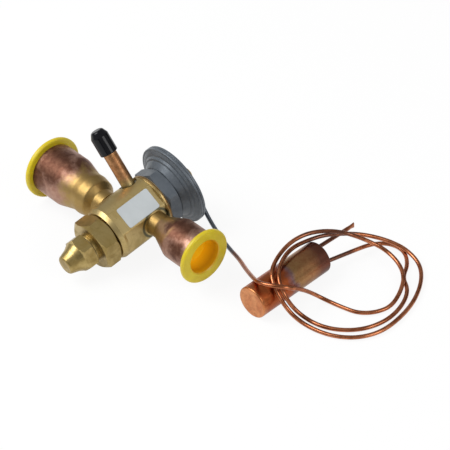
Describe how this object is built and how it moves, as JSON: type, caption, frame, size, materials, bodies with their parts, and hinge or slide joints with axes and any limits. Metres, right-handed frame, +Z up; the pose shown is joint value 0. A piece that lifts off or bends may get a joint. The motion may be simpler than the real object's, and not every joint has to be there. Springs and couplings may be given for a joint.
{
  "type": "expansion valve with remote bulb",
  "caption": "Straight expansion valve with a diaphragm head, side equalizer, adjusting stem, plugged copper tube sockets and a sensing bulb on a coiled capillary.",
  "frame": {"origin": "on the table, under the middle of the valve without its bulb and capillary", "axes": "+Z up; +Y from the inlet socket to the outlet socket; +X towards the diaphragm head, the valve's own axis being tipped 8.34 degrees up from +X"},
  "size_m": [0.1525, 0.2221, 0.0665],
  "materials": {
    "brass_body": "turned, satin",
    "brass_nut": "machined, satin",
    "bright_brass": "machined",
    "sheet_brass": "perforated sheet",
    "stainless": "ground",
    "spring_steel": "drawn wire",
    "grey_steel": "phosphated grey, satin",
    "copper_fitting": "heat-stained copper",
    "copper_tube": "drawn copper, dull",
    "copper_bulb": "copper, satin with heat tint",
    "copper_capillary": "drawn copper",
    "yellow_plastic": "translucent soft plastic",
    "black_vinyl": "glossy",
    "label": "blank film label",
    "fibre": "pressed fibre",
    "white_packing": "waxy"
  },
  "bodies": {
    "valve": {"valve_body": "brass_body", "label_plate": "label", "inlet_fitting": "copper_fitting", "outlet_fitting": "copper_fitting", "inlet_strainer": "sheet_brass", "equalizer_tube": "copper_tube", "head_gasket": "fibre", "head_nut": "grey_steel", "lower_case": "grey_steel", "diaphragm": "stainless", "upper_case": "grey_steel", "capillary_boss": "bright_brass", "valve_seat": "stainless", "superheat_spring": "spring_steel", "bottom_cap": "brass_nut", "bottom_cap_gasket": "copper_tube", "packing_ring": "white_packing", "packing_nut": "bright_brass", "bulb_shell": "copper_bulb", "bulb_end_plug": "copper_bulb", "charge_tube": "copper_capillary", "capillary_tube": "copper_capillary"},
    "needle": {"buffer_plate": "stainless", "pushrods": "stainless", "pin_carrier": "bright_brass", "valve_pin": "stainless"},
    "stem": {"adjusting_stem": "stainless"},
    "seat_disc": {"spring_seat": "bright_brass"},
    "cap_washer": {"seal_cap_gasket": "fibre"},
    "cap": {"seal_cap": "brass_nut"},
    "inlet_stopper": {"inlet_plug": "yellow_plastic"},
    "outlet_stopper": {"outlet_plug": "yellow_plastic"},
    "equalizer_stopper": {"equalizer_cap": "black_vinyl"}
  },
  "joints": [
    {"name": "needle_stroke", "type": "slide", "parent": "valve", "child": "needle", "axis": [-0.9894, 0, -0.1451], "range_m": [0, 0.0009], "stiffness_N_per_m": 8000, "deforming": ["superheat_spring", "diaphragm"]},
    {"name": "stem_turn", "type": "hinge", "parent": "valve", "child": "stem", "pos_m": [-0.02517, -0.0059, 0.01598], "axis": [0.9894, 0, 0.1451], "range_deg": [-900, 900]},
    {"name": "spring_seat_travel", "type": "slide", "parent": "valve", "child": "seat_disc", "axis": [0.9894, 0, 0.1451], "range_m": [-0.00125, 0.00125], "deforming": ["superheat_spring"]},
    {"name": "seal_cap_lift", "type": "slide", "parent": "valve", "child": "cap_washer", "axis": [-0.9894, 0, -0.1451], "range_m": [0, 0.008]},
    {"name": "seal_cap_turn", "type": "hinge", "parent": "cap_washer", "child": "cap", "pos_m": [-0.03507, -0.0059, 0.01453], "axis": [-0.9894, 0, -0.1451], "range_deg": [0, 1920]},
    {"name": "inlet_plug_pull", "type": "slide", "parent": "valve", "child": "inlet_stopper", "axis": [0, -1, 0], "range_m": [0, 0.014]},
    {"name": "outlet_plug_pull", "type": "slide", "parent": "valve", "child": "outlet_stopper", "axis": [0, 1, 0], "range_m": [0, 0.03]},
    {"name": "equalizer_cap_pull", "type": "slide", "parent": "valve", "child": "equalizer_stopper", "axis": [-0.1231, 0.5299, 0.8391], "range_m": [0, 0.03]}
  ],
  "couplings": [
    {"joint": "stem_turn", "follows": "spring_seat_travel", "rad_per_m": 12566},
    {"joint": "seal_cap_turn", "follows": "seal_cap_lift", "rad_per_m": 4188.8}
  ]
}
